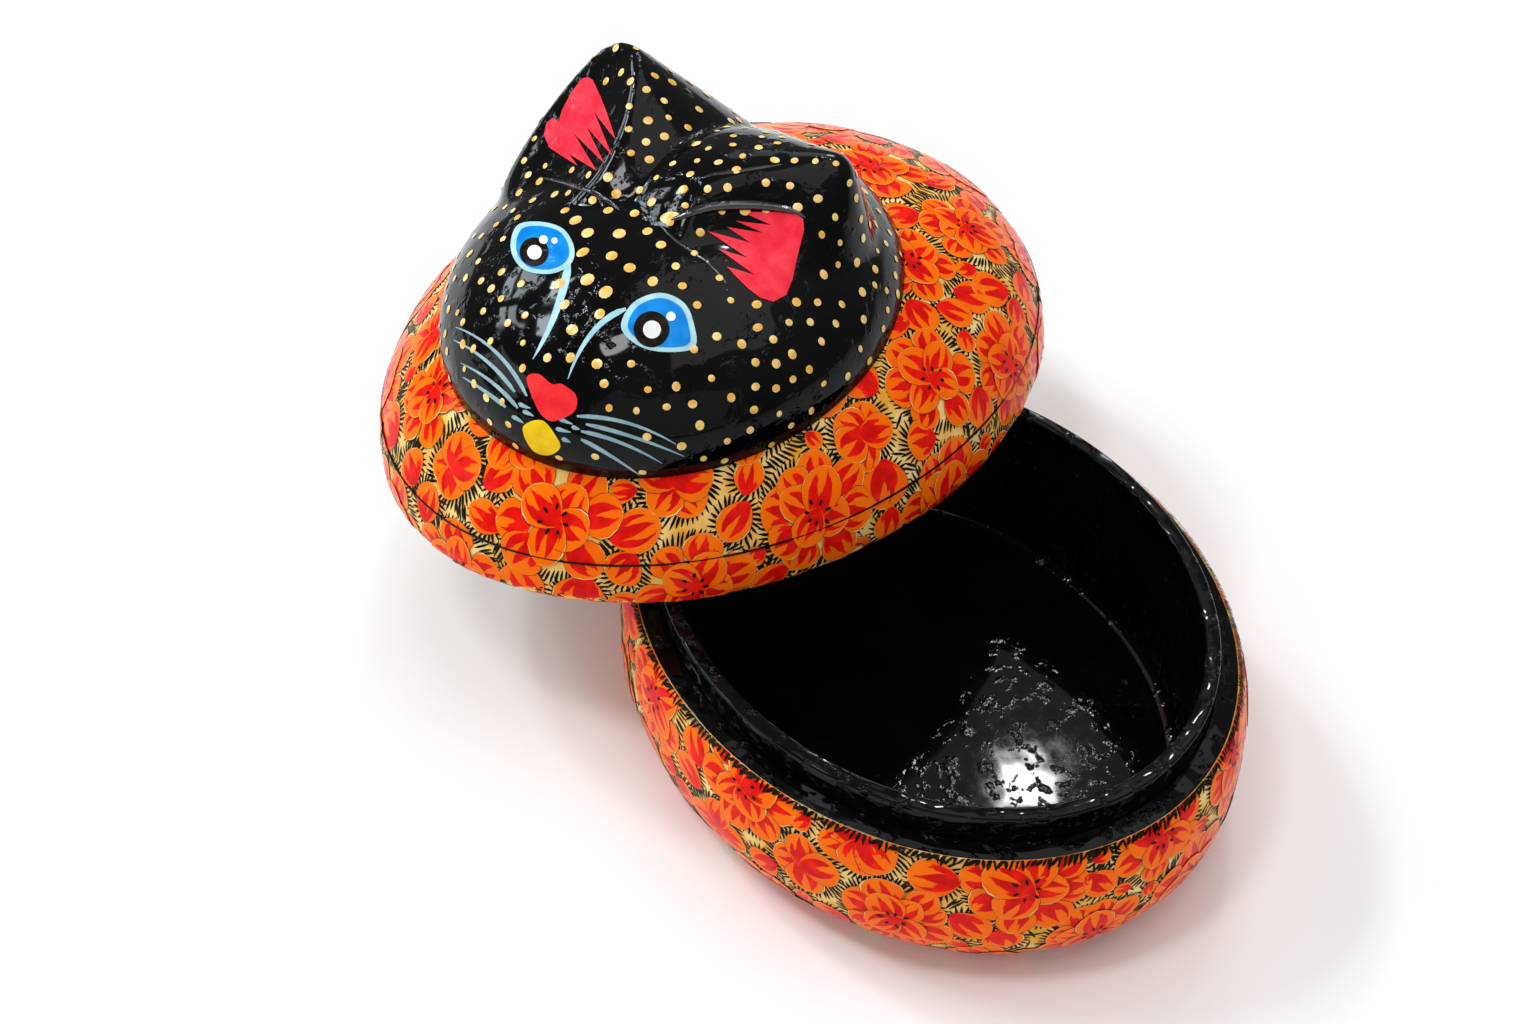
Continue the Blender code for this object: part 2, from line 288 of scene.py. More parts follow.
def flower_bed(seed, skin, low, high, tries, sizes):
    """Scatter double flowers, then single ones and buds between them, then hatching, over a strip of wall."""
    rng = np.random.default_rng(seed)
    spread, point, _ = skin
    petals, hatches = [], []
    spots, rooms, places = np.zeros((0, 3)), np.zeros(0), []

    def settle(size, tries, closeness):
        nonlocal spots, rooms
        angles, ups, radii = rng.uniform(0, math.tau, tries), rng.uniform(low, high, tries), rng.uniform(*size, tries)
        found = []
        for spot, angle, up, radius in zip(point(angles, ups, 0 * ups), angles, ups, radii):
            if np.all(np.linalg.norm(spots - spot, axis=1) > closeness * (radius + rooms)):
                spots, rooms = np.vstack([spots, spot]), np.append(rooms, radius)
                found.append((radius, angle, up))
        places.extend(found)
        return found

    def petal_ring(angle, up, count, root, length, width, layer):
        start = rng.uniform(0, math.tau)
        for above, number in enumerate(rng.permutation(count)):
            turn = start + math.tau * number / count + rng.normal(0, 0.13)
            petals.append((angle + root * math.sin(turn) / spread(angle, up), up + root * math.cos(turn), turn,
                           length * rng.uniform(0.84, 1.12), width * rng.uniform(0.90, 1.20),
                           PETAL_LIFT + LAYER_LIFT * (layer + above), rng.random()))

    for radius, angle, up in settle(sizes[0], tries, 0.90):
        petal_ring(angle, up, int(rng.integers(6, 9)), 0.36 * radius, 0.64 * radius, 0.68 * radius, 0)
        petal_ring(angle, up, int(rng.integers(4, 6)), -0.10 * radius, 0.78 * radius, 0.66 * radius, 10)
        for way in np.arange(0, math.tau, 0.9) + rng.uniform(0, 0.9):
            ring = radius * rng.uniform(0.14, 0.24)
            hatches.append((angle + ring * math.sin(way) / spread(angle, up), up + ring * math.cos(way), way,
                            rng.uniform(0.0010, 0.0016), rng.uniform(0.0006, 0.0009), TOP_LIFT, rng.random()))
    for radius, angle, up in settle(sizes[1], tries, 0.90):
        petal_ring(angle, up, int(rng.integers(4, 6)), -0.10 * radius, 1.08 * radius, 1.00 * radius, 0)
    for radius, angle, up in settle(sizes[2], 2 * tries, 0.84) + settle(sizes[3], 2 * tries, 0.90):
        petal_ring(angle, up, 1, -1.0 * radius, 2.0 * radius, 1.8 * radius, 0)
    for home, (radius, angle, up) in enumerate(places):
        for row in range(HATCH_ROWS):
            ring = 0.88 * radius + HATCH_ROW_STEP * row
            ways = np.arange(0, math.tau, HATCH_STEP / ring)
            ways = ways + rng.normal(0, 0.012, len(ways))
            heights = up + ring * np.cos(ways)
            angles = angle + ring * np.sin(ways) / spread(angle, heights)
            apart = np.linalg.norm(point(angles, heights, 0 * angles)[:, None] - spots, axis=2) - rooms
            own = np.argmin(apart, axis=1) == home
            own &= (heights > low - HATCH_MARGIN) & (heights < high + HATCH_MARGIN)
            for way, at, height in zip(ways[own], angles[own], heights[own]):
                hatches.append((at, height, way + HATCH_SLANT * (-1) ** row, rng.uniform(0.0032, 0.0044),
                                rng.uniform(0.00056, 0.00078), HATCH_LIFT, rng.random()))
    return petals, hatches


def petal_paint():
    """Orange petals: a toothed red flame from the root, and a broken pale line round the outer edge, partly a painted
    outline and partly a painted highlight.
    """
    material, tree, where = paint_tree("petal_paint")
    brush = node(tree, "ShaderNodeSeparateXYZ", {0: node(tree, "ShaderNodeUVMap", {}, uv_map="brush").outputs[0]})
    tone = node(tree, "ShaderNodeSeparateXYZ", {0: node(tree, "ShaderNodeUVMap", {}, uv_map="tone").outputs[0]})

    def sums(operation, a, b, c=0.0):
        return node(tree, "ShaderNodeMath", {0: a, 1: b, 2: c}, operation=operation).outputs[0]

    side = sums("ABSOLUTE", sums("MULTIPLY_ADD", brush.outputs[0], 2.0, -1.0), 0.0)
    grain_at = node(tree, "ShaderNodeCombineXYZ", {0: sums("MULTIPLY", brush.outputs[0], 5.0),
                                                   1: sums("MULTIPLY", brush.outputs[1], 0.7),
                                                   2: sums("MULTIPLY", tone.outputs[0], 61.0)})
    noise = node(tree, "ShaderNodeTexNoise", {"Vector": grain_at.outputs[0], "Scale": 1.6, "Detail": 2.0})
    grain = noise.outputs["Fac"]
    spikes = sums("PINGPONG", sums("MULTIPLY_ADD", brush.outputs[0], 3.0, sums("MULTIPLY", tone.outputs[0], 9.0)), 0.5)
    narrow = sums("MULTIPLY", sums("MAXIMUM", sums("SUBTRACT", side, 0.58), 0.0), -1.7)
    reach = sums("MULTIPLY_ADD", grain, 0.60, sums("MULTIPLY_ADD", spikes, 0.80, 0.11))
    reach = sums("ADD", reach, narrow)
    flame = node(tree, "ShaderNodeMapRange", {0: sums("SUBTRACT", reach, brush.outputs[1]), 1: -0.01, 2: 0.02})
    edge = sums("MAXIMUM", side, sums("MULTIPLY_ADD", brush.outputs[1], 1.0, -0.02))
    # The pale rim on the petal's outer half is partly a painted outline and partly a painted highlight along the edge
    pale_rim_highlight = node(tree, "ShaderNodeMapRange", {0: sums("MULTIPLY_ADD", grain, 0.36, edge), 1: 1.125, 2: 1.145})
    root = node(tree, "ShaderNodeMapRange", {0: brush.outputs[1], 1: 0.42, 2: 0.58})
    pale_rim_highlight = sums("MULTIPLY", pale_rim_highlight.outputs[0], root.outputs[0])
    deep = drift(tree, where, 210.0, (0.96, 0.086, 0.0012), (1.0, 0.140, 0.002))
    orange = node(tree, "ShaderNodeMix", {0: sums("MULTIPLY", brush.outputs[1], 0.75), 6: deep,
                                          7: (1.0, 0.215, 0.004, 1.0)}, data_type="RGBA").outputs[2]
    red = drift(tree, where, 300.0, (0.64, 0.005, 0.004), (0.90, 0.011, 0.006))
    lit = node(tree, "ShaderNodeMix", {0: flame.outputs[0], 6: orange, 7: red}, data_type="RGBA")
    highlight_lined = node(tree, "ShaderNodeMix", {0: pale_rim_highlight, 6: lit.outputs[2], 7: (0.95, 0.66, 0.26, 1.0)},
                 data_type="RGBA")
    border = node(tree, "ShaderNodeMapRange", {0: sums("MULTIPLY_ADD", grain, 0.06, edge), 1: 0.994, 2: 1.006})
    bordered = node(tree, "ShaderNodeMix", {0: border.outputs[0], 6: highlight_lined.outputs[2], 7: (0.030, 0.008, 0.002, 1.0)},
                    data_type="RGBA")
    glaze(tree, bordered.outputs[2], where)
    return material


petal_colours = petal_paint()
hatch_black, tree, where = paint_tree("hatch_black")
glaze(tree, drift(tree, where, 500.0, (0.003, 0.003, 0.003), (0.020, 0.012, 0.005)), where)

base_skin = wall_skin(base_ovals(base_wall[2:]))
petals, hatches = flower_bed(11, base_skin, 0.003, base_skin[2] - 0.002, 6000,
                             ((0.0125, 0.0150), (0.0080, 0.0100), (0.0042, 0.0062), (0.0024, 0.0036)))
paint_strokes("bowl_petals", petals, PETAL_CELLS, petal_outline, base_skin, "base", "flowered_lacquer",
              petal_colours)
paint_strokes("bowl_hatching", hatches, DASH_CELLS, dash_outline, base_skin, "base", "flowered_lacquer", hatch_black)


# The shoulder ticks: slanting black strokes that close the flowers off below the ledge.
# They are drawn last, with the same fine brush as the hatching.
TICK_DROP, TICK_STEP = 0.0012, 0.017
rng = np.random.default_rng(2)
ticks = [(angle, base_skin[2] - TICK_DROP, rng.uniform(-0.2, 1.2), rng.uniform(0.0016, 0.0034),
          rng.uniform(0.0005, 0.0010), TOP_LIFT, rng.random()) for angle in np.arange(0, math.tau, TICK_STEP)]
paint_strokes("shoulder_ticks", ticks, DASH_CELLS, dash_outline, base_skin, "base", "flowered_lacquer", hatch_black)


# The collar: a strip of pasteboard bent round and glued inside the bowl, lacquered black.
# It stands 7 mm above the ledge with rounded edges, so that the lid drops over it.
COLLAR_WALL = 0.0035
COLLAR_TOP = 0.0474
OUTER_ROUND = 0.0006
INNER_ROUND = 0.0005
collar_inside = COLLAR_INSET + COLLAR_WALL
floor_level = BOWL_BOTTOM + GLUE_GAP
section = [(COLLAR_INSET, floor_level)]
section += quarter(COLLAR_INSET, COLLAR_INSET + OUTER_ROUND, COLLAR_TOP - OUTER_ROUND, COLLAR_TOP, 6)
section += quarter(collar_inside, collar_inside - INNER_ROUND, COLLAR_TOP - INNER_ROUND, COLLAR_TOP, 4)[::-1]
section += [(collar_inside, floor_level)]
collar = piece("collar", loft(base_ovals(section), ring=True), "base", "black_lacquer", edge_lacquer)
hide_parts("base_collar")


# The floor: a thin oval board glued on the bowl's bottom, under the same black lacquer.
# The lacquer has pooled along its edge and closes the corner to the collar.
FLOOR_BOARD = 0.0010
POOL_RISE = ((GLUE_GAP, 0.0016), (0.0008, 0.0007), (0.0026, 0.0), (0.0032, 0.0), (0.0080, 0.0))
floor_top = floor_level + FLOOR_BOARD
section = [(collar_inside + GLUE_GAP, floor_level)]
section += [(collar_inside + inset, floor_top + rise) for inset, rise in POOL_RISE]
pooled_lacquer = black_paint("pooled_lacquer", 0.010, 0.05, 0.05, 0.10)
corner_lacquer = black_paint("corner_lacquer", 0.03, 0.20, 0.08, 0.60)
bm = loft(base_ovals(section))
for face in bm.faces:
    face.material_index = 1 if 0.1 < face.normal.z < 0.98 else 0
floor_board = piece("floor_lining", bm, "base", "black_lacquer", pooled_lacquer, corner_lacquer)
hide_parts("floor_board")


# The lid's rim band: a second pulp moulding, a low oval ring with a flange turned in below.
# The flange sits on the ledge when the box is shut; here the lid lies off the base, on the collar's top.
LID_HALF = (0.0890, 0.0740)
LID_WALL = 0.0045
LID_BELLY = 0.0033
LID_UNDERCUT = 0.0080
LID_FLANGE = 0.0026
LID_SEAM = 0.0123
LID_CROWN = 0.0410
LID_FULLNESS = 2.48
LID_OPENING = 0.0078
LID_SPOT = (-0.0856, 0, 0.04394)
LID_LEAN, LID_TURN = math.radians(-5.0), math.radians(104.6)
lid_place = (Matrix.Translation(LID_SPOT) @ Matrix.Rotation(LID_LEAN, 4, "Y")
             @ Matrix.Rotation(LID_TURN, 4, "Z"))


def crown_ovals(start, end, steps, swell=0.0):
    """Ovals up the lid's dome between two heights, measured as angles of its section."""
    ovals = []
    for step in range(steps + 1):
        angle = start + (end - start) * step / steps
        share = (1 - math.sin(angle) ** 2) ** (1 / LID_FULLNESS)
        ovals.append(((LID_HALF[0] + swell) * share, (LID_HALF[1] + swell) * share,
                      LID_BELLY + (LID_CROWN + swell) * math.sin(angle)))
    return ovals


def crown_height(spot):
    """Height of the lid's dome at a point, in the lid's own frame."""
    share = min(math.hypot(spot.x / LID_HALF[0], spot.y / LID_HALF[1]), 1.0)
    return LID_BELLY + LID_CROWN * math.sqrt(1 - share ** LID_FULLNESS)


seam_angle = math.asin((LID_SEAM - LID_BELLY) / LID_CROWN)
under = [(LID_HALF[0] - inset, LID_HALF[1] - inset, z)
         for inset, z in quarter(0, LID_UNDERCUT, LID_BELLY, 0, 8)[::-1]]
side = crown_ovals(0, seam_angle, 8)[1:]
top = side[-1]
opening = [half - LID_OPENING for half in BASE_HALF]
inner = [(top[0] - LID_WALL, top[1] - LID_WALL, LID_SEAM), (top[0] - LID_WALL, top[1] - LID_WALL, LID_FLANGE)]
band_ovals = [(*opening, 0)] + under + side + inner + [(*opening, LID_FLANGE)]
band = piece("rim_band", loft(band_ovals, True, lid_place), "lid", "flowered_lacquer", gold_ground)
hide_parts("lid_rim_band")


# The lid's dome: the upper moulding, glued on the band; a fine dark seam still shows between the two.
# Its inside is bare black lacquer.
CROWN_END = math.radians(87)
CROWN_STEPS = 28
dome_outer = crown_ovals(seam_angle, CROWN_END, CROWN_STEPS)
dome_inner = crown_ovals(seam_angle + 0.03, CROWN_END, CROWN_STEPS, -LID_WALL)
bm = loft(dome_outer[::-1] + dome_inner, False, lid_place)
heart = lid_place @ Vector((0, 0, -0.02))
for face in bm.faces:
    face.material_index = 0 if face.normal.dot(face.calc_center_median() - heart) > 0 else 1
dome = piece("dome", bm, "lid", "flowered_lacquer", gold_ground, black_lacquer)
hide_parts("lid_dome")

SEAM_SECTION = ((0.00042, -0.0002), (0.00046, 0.0002), (-0.0010, 0.0))
seam_line = [(top[0] + lift, top[1] + lift, LID_SEAM + rise) for lift, rise in SEAM_SECTION]
piece("seam_line", loft(seam_line, True, lid_place), "lid", "black_lacquer", hatch_black)


# The flowers on the lid, painted straight across the seam, by the same hand as on the bowl.
# They run up to the cat's head and round under the belly as far as the flange.
lid_skin = wall_skin(under[2:] + side + dome_outer, lid_place)
petals, hatches = flower_bed(5, lid_skin, 0.002, 0.066, 9000,
                             ((0.0130, 0.0160), (0.0085, 0.0105), (0.0044, 0.0066), (0.0026, 0.0038)))
paint_strokes("lid_petals", petals, PETAL_CELLS, petal_outline, lid_skin, "lid", "flowered_lacquer", petal_colours)
paint_strokes("lid_hatching", hatches, DASH_CELLS, dash_outline, lid_skin, "lid", "flowered_lacquer", hatch_black)


# The cat's head: a hollow moulding glued on the dome, with its ears drawn up from the back corners.
# Pulp fills the joints, so that skull and ears are one skin under black lacquer, with soft creases at the roots.
HEAD_HALF = np.array([0.0595, 0.0530, 0.0310])
EARS = (((0.0144, 0.0146, 0.0031), 0.0367, (0.0206, 0.0236, 0.0380), 0.0118),
        ((0.0080, -0.0120, 0.0040), 0.0345, (0.0147, -0.0337, 0.0325), 0.0060))
HOLLOWS = (((-0.0457, 0.0781, 0.1273), 0.120), ((-0.0313, -0.0401, 0.0618), 0.045))
CREASE = 0.0010
BRIM = 0.0016
HEAD_SPOT = (-0.0149, -0.0025, 0.0330)
HEAD_TURN = math.radians(14.6)
HEAD_SINK = 0.0015
NEAREST, FARTHEST, SEARCH_STEPS, HALVINGS = 0.015, 0.080, 90, 12
head_place = lid_place @ Matrix.Translation(HEAD_SPOT) @ Matrix.Rotation(HEAD_TURN, 4, "Z")


def skull(spots):
    """Distance outside the egg-shaped skull."""
    far = np.linalg.norm(spots / HEAD_HALF, axis=-1)
    return far * (far - 1) / np.linalg.norm(spots / HEAD_HALF ** 2, axis=-1)


def ear(spots, root, wide, tip, narrow):
    """Distance outside a round-ended cone from a wide root to a narrow tip."""
    axis = np.array(tip) - root
    length = np.linalg.norm(axis)
    axis /= length
    along = (spots - root) @ axis
    off = np.linalg.norm(spots - root - along[..., None] * axis, axis=-1)
    slope = (wide - narrow) / length
    level = math.sqrt(1 - slope ** 2)
    share = np.clip((along - off * slope / level) / length, 0, 1)
    return np.hypot(off, along - share * length) - (wide + share * (narrow - wide))


def join(near, other, soft):
    """The nearer of two distances, with a soft crease where they meet."""
    blend = np.clip(0.5 + 0.5 * (other - near) / soft, 0, 1)
    return other + (near - other) * blend - soft * blend * (1 - blend)


def head_distance(spots):
    """Distance outside the skull and ears; a hollow is scooped from the front of each ear."""
    near = skull(spots)
    for shape, (middle, radius) in zip(EARS, HOLLOWS):
        scoop = np.linalg.norm(spots - np.array(middle), axis=-1) - radius
        near = join(near, -join(-ear(spots, *shape), scoop, BRIM), CREASE)
    return near


bm = bmesh.new()
bmesh.ops.create_icosphere(bm, subdivisions=6, radius=1.0)
crown = [edge for edge in bm.edges if min(vert.co.z for vert in edge.verts) > 0.72]
bmesh.ops.subdivide_edges(bm, edges=crown, cuts=1, use_grid_fill=True)
ways = np.array([vert.co for vert in bm.verts]) * HEAD_HALF
ways /= np.linalg.norm(ways, axis=1, keepdims=True)
inside, outside = np.full(len(ways), NEAREST), np.full(len(ways), FARTHEST)
for step in np.linspace(FARTHEST, NEAREST, SEARCH_STEPS):
    hit = (head_distance(ways * step) < 0) & (inside == NEAREST)
    inside[hit] = step
    outside[hit] = step + (FARTHEST - NEAREST) / (SEARCH_STEPS - 1)
for _ in range(HALVINGS):
    middle = (inside + outside) / 2
    within = head_distance(ways * middle[:, None]) < 0
    inside, outside = np.where(within, middle, inside), np.where(within, outside, middle)
for vert, spot in zip(bm.verts, ways * inside[:, None]):
    vert.co = spot
bmesh.ops.transform(bm, matrix=lid_place.inverted() @ head_place, verts=bm.verts)
for vert in bm.verts:
    vert.co.z = max(vert.co.z, crown_height(vert.co) - HEAD_SINK)
bmesh.ops.transform(bm, matrix=lid_place, verts=bm.verts)
bmesh.ops.recalc_face_normals(bm, faces=bm.faces)
head_surface = BVHTree.FromBMesh(bm)
head = piece("head", bm, "lid", "black_lacquer", black_lacquer)
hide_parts("cat_head", "left_ear", "right_ear")


# The photograph's standpoint: the face is painted as it is seen from there.
EYE = Vector((0.2527, -0.2187, 0.4116))
SIGHT = Vector((-0.5718, 0.3945, -0.7193))
RIGHT = Vector((0.5678, 0.8231, 0.0))
UP = Vector((-0.5921, 0.4084, 0.6947))
FOCAL = 2200.0
MIDDLE = (768.0, 512.0)
LINE_TAPER, LINE_TIP = 0.6, 0.6
LINE_LIFT, RIM_LIFT, DAB_LIFT = 0.00010, 0.00012, 0.00014
PATCH_LIFT, BLUE_LIFT, RING_LIFT = 0.00016, 0.00018, 0.00024
PUPIL_LIFT, GLINT_LIFT = 0.00030, 0.00032


def on_head(spot, lift):
    """The point of the head that shows at a spot of the view, raised by a paint's thickness."""
    way = SIGHT + RIGHT * ((spot[0] - MIDDLE[0]) / FOCAL) - UP * ((spot[1] - MIDDLE[1]) / FOCAL)
    found, normal, _, _ = head_surface.ray_cast(EYE, way.normalized())
    if found is None:
        beside = EYE + way * (head_place.translation - EYE).dot(SIGHT)
        found, normal, _, _ = head_surface.find_nearest(beside)
    return found + normal * lift


def smooth_loop(points, count):
    """Evenly numbered points on a smooth closed line through the given ones."""
    points = np.array(points, float)
    loop = []
    for number in range(count):
        share = number * len(points) / count
        first = int(share)
        t = share - first
        a, b, c, d = [points[(first + shift) % len(points)] for shift in (-1, 0, 1, 2)]
        loop.append(0.5 * (2 * b + (c - a) * t + (2 * a - 5 * b + 4 * c - d) * t ** 2
                           + (3 * b - a - 3 * c + d) * t ** 3))
    return np.array(loop)


def dab(bm, points, lift, sides=36, rings=4):
    """A filled patch of paint with a smooth outline, seen from the standpoint."""
    loop = smooth_loop(points, sides)
    middle = loop.mean(axis=0)
    verts = bmesh.ops.create_circle(bm, segments=sides, radius=1.0)["verts"]
    edges = list({edge for vert in verts for edge in vert.link_edges})
    whole = list(verts)
    for ring in range(rings, 0, -1):
        verts, edges = next_loop(bm, edges)
        shrink = ring / (ring + 1)
        bmesh.ops.scale(bm, vec=(shrink, shrink, 1.0), verts=verts)
        whole += verts
    bmesh.ops.edgeloop_fill(bm, edges=edges)
    for vert in whole:
        number = math.atan2(vert.co.y, vert.co.x) / math.tau * sides
        vert.co = on_head(middle + (loop[round(number) % sides] - middle) * vert.co.length, lift)


def spot_outline(x, y, radius):
    """A round spot in the view."""
    return [(x + radius * math.cos(angle), y + radius * math.sin(angle))
            for angle in np.linspace(0, math.tau, 8, endpoint=False)]


def line(bm, points, width, lift, cells=10):
    """A tapering brush line through three points of the view, thick first."""
    a, b, c = [np.array(point, float) for point in points]
    b = 2 * b - (a + c) / 2
    for vert in bmesh.ops.create_grid(bm, x_segments=2, y_segments=cells, size=1.0)["verts"]:
        t = vert.co.y / 2 + 0.5
        spot = a * (1 - t) ** 2 + 2 * b * t * (1 - t) + c * t ** 2
        way = 2 * (b - a) * (1 - t) + 2 * (c - b) * t
        across = np.array([-way[1], way[0]]) / np.linalg.norm(way)
        full = width * min(1.0, 0.35 + 5 * t) * (1 - t) ** LINE_TAPER + LINE_TIP
        vert.co = on_head(spot + across * full / 2 * vert.co.x, lift)


def paint(name, low, high, scale=260.0, shine=0.07):
    """Opaque brush colour in two near tones, under the lacquer."""
    material, tree, where = paint_tree(name)
    glaze(tree, drift(tree, where, scale, low, high), where, shine=shine)
    return material


def face_piece(name, bm, material):
    """A painted piece of the face, with its faces turned outwards."""
    heart = head_place.translation
    bm.normal_update()
    for face in bm.faces:
        if face.normal.dot(face.calc_center_median() - heart) < 0:
            face.normal_flip()
    return piece(name, bm, "lid", "black_lacquer", material)


# The eyes: a pale outline with a drawn-out corner, a blue ground, a black ring, a white pupil and glints.
# Each is a layer of brush paint over the one before.
LEFT_EYE = [(517, 226), (540, 222), (563, 229), (574, 247), (571, 264), (551, 274), (524, 270), (511, 250)]
RIGHT_EYE = [(621, 327), (633, 303), (660, 293), (684, 303), (694, 325), (694, 348), (663, 352), (637, 345)]
eye_rims, eye_blues, eye_blacks, eye_whites = [bmesh.new() for _ in range(4)]
for outline, pupil, size in ((LEFT_EYE, (534.5, 252.5), 14.5), (RIGHT_EYE, (651.5, 329.5), 18.0)):
    middle = np.mean(outline, axis=0)
    dab(eye_rims, outline, RIM_LIFT, 48)
    dab(eye_blues, [middle + (np.array(point) - middle) * 0.83 for point in outline], BLUE_LIFT, 48)
    dab(eye_blacks, spot_outline(*pupil, size), RING_LIFT)
    dab(eye_whites, spot_outline(pupil[0] + 0.5, pupil[1] + 0.5, size * 0.5), PUPIL_LIFT, 24)
for x, y, radius in ((544, 240.5, 4.4), (555, 241.5, 3.2), (671, 317, 4.8)):
    dab(eye_whites, spot_outline(x, y, radius), GLINT_LIFT, 16)
line(eye_rims, ((569, 262), (556, 312), (533, 359)), 9.0, LINE_LIFT)
line(eye_rims, ((626, 309), (592, 333), (568, 379)), 6.5, LINE_LIFT)
face_piece("eye_rims", eye_rims, paint("pale_aqua", (0.32, 0.58, 0.66), (0.46, 0.72, 0.78)))
face_piece("eye_blues", eye_blues, paint("eye_blue", (0.002, 0.19, 0.62), (0.006, 0.27, 0.76)))
face_piece("eye_blacks", eye_blacks, hatch_black)
face_piece("eye_whites", eye_whites, paint("eye_white", (0.80, 0.80, 0.78), (0.92, 0.92, 0.90)))


# The nose and tongue: a red heart of three lobes, and a yellow drop below it.
# Both are thick dabs of paint.
nose, tongue = bmesh.new(), bmesh.new()
dab(nose, [(527, 377), (539, 374), (552, 384), (562, 384), (576, 395), (576, 409), (566, 417), (552, 421),
           (541, 414), (532, 396)], DAB_LIFT, 40)
dab(tongue, [(523, 427), (542, 420), (557, 437), (560, 448), (548, 455), (532, 449)], DAB_LIFT)
face_piece("nose", nose, paint("nose_red", (0.84, 0.022, 0.030), (0.95, 0.045, 0.045)))
face_piece("tongue", tongue, paint("tongue_yellow", (0.86, 0.52, 0.004), (0.97, 0.66, 0.012)))


# The whiskers: long tapering lines of grey-blue paint, with short dashes where they start.
# They are drawn outwards from the nose with a fine brush.
whiskers = bmesh.new()
for points in (((527, 396), (497, 353), (456, 327)), ((515, 392), (488, 362), (454, 340)),
               ((518, 408), (492, 382), (461, 363)), ((506, 407), (485, 391), (463, 377)),
               ((577, 416), (628, 423), (676, 444)), ((586, 424), (634, 437), (684, 456)),
               ((581, 431), (622, 443), (662, 463)), ((581, 439), (610, 455), (640, 475))):
    line(whiskers, points, 4.2, RIM_LIFT)
for points in (((519, 403), (524, 406), (531, 408)), ((523, 411), (528, 413), (534, 416)),
               ((512, 416), (518, 419), (524, 423)), ((559, 418), (565, 421), (573, 424)),
               ((556, 428), (562, 430), (571, 432)), ((572, 426), (576, 428), (580, 429)),
               ((562, 438), (566, 440), (571, 442))):
    line(whiskers, points, 4.6, RIM_LIFT, 4)
face_piece("whiskers", whiskers, paint("whisker_grey", (0.22, 0.38, 0.42), (0.34, 0.50, 0.54)))


# The inner ears: pink patches, brushed out into pointed fingers towards the middle of the head.
# They lie in the shallow front of each ear.
LEFT_PINK = [(588, 77), (593, 80), (601, 97), (607, 112), (616, 140), (595, 113), (612.5, 156), (587, 127),
             (605, 164), (574.5, 134), (597, 171), (569, 154), (578, 166), (562, 156), (550, 148), (544, 135),
             (547, 123), (553, 118), (559, 122), (562.5, 110), (572, 92), (582, 79)]
RIGHT_PINK = [(742, 212), (767, 212), (793, 212), (803, 219), (804, 230), (800, 246), (796, 262), (792, 280),
              (786, 295), (773, 302), (760, 298), (747, 288), (737, 278), (727, 267), (754, 275), (718, 249),
              (747, 258), (707, 231), (750, 243), (727, 227), (763, 233), (736, 221), (771, 225)]
inner_ears = bmesh.new()
for outline in (LEFT_PINK, RIGHT_PINK):
    verts = bmesh.ops.create_circle(inner_ears, segments=len(outline), radius=1.0)["verts"]
    for vert, spot in zip(verts, outline):
        vert.co = (*spot, 0)
bmesh.ops.triangle_fill(inner_ears, edges=inner_ears.edges, use_beauty=True)
bmesh.ops.subdivide_edges(inner_ears, edges=inner_ears.edges, cuts=5, use_grid_fill=True)
for vert in inner_ears.verts:
    vert.co = on_head(vert.co, PATCH_LIFT)
face_piece("inner_ears", inner_ears, paint("ear_pink", (0.86, 0.022, 0.048), (0.96, 0.050, 0.075)))


# The lips of the ears: thin rolls of pulp pressed along the joints and along the right ear's upper edge.
# They lie under the same black lacquer, smoothed flat on top, and catch the light as fine lines.
LIP_TOP = Vector((0.0, 0.19, 0.98))


def bead(bm, points, radius, sides=12, cells=36):
    """A half-sunk roll along a smooth line of the view, fading out at both ends."""
    points = np.array(points, float)
    marks = np.linspace(0, 1, len(points))
    trail = np.array([on_head([np.interp(t, marks, axis) for axis in points.T], -0.3 * radius)
                      for t in np.linspace(0, 1, cells + 1)])
    trail[1:-1] = (trail[:-2] + 2 * trail[1:-1] + trail[2:]) / 4
    ways = np.gradient(trail, axis=0)
    verts = bmesh.ops.create_grid(bm, x_segments=sides, y_segments=cells, size=1.0)["verts"]
    for vert in verts:
        step = round((vert.co.y / 2 + 0.5) * cells)
        way = Vector(ways[step]).normalized()
        across = way.cross(LIP_TOP).normalized()
        cos, sin = [math.copysign(abs(side) ** 0.6, side)
                    for side in (math.cos(math.pi * vert.co.x), math.sin(math.pi * vert.co.x))]
        thick = radius * math.sin(math.pi * (0.02 + 0.96 * step / cells)) ** 0.5
        vert.co = Vector(trail[step]) + thick * (across * cos + across.cross(way) * 0.6 * sin)
    bmesh.ops.remove_doubles(bm, verts=verts, dist=WELD)


lips = bmesh.new()
bead(lips, [(537, 176), (553, 179), (565, 182), (580, 187), (592, 191), (603, 197), (613, 204), (623, 212)], 0.0008)
bead(lips, [(664, 221), (676, 217), (688, 212), (708, 206), (730, 204), (758, 204), (780, 207), (797, 211), (807, 218)],
     0.0016)
bead(lips, [(656, 221), (667, 232), (678, 242), (693, 252), (708, 262), (721, 275), (729, 286)], 0.0005)
bead(lips, [(694, 180), (712, 174), (736, 171), (762, 167), (788, 163)], 0.0006)
bmesh.ops.recalc_face_normals(lips, faces=lips.faces)
piece("ear_lips", lips, "lid", "black_lacquer", black_paint("lip_lacquer", 0.06, 0.16, 0.12, 1.0))


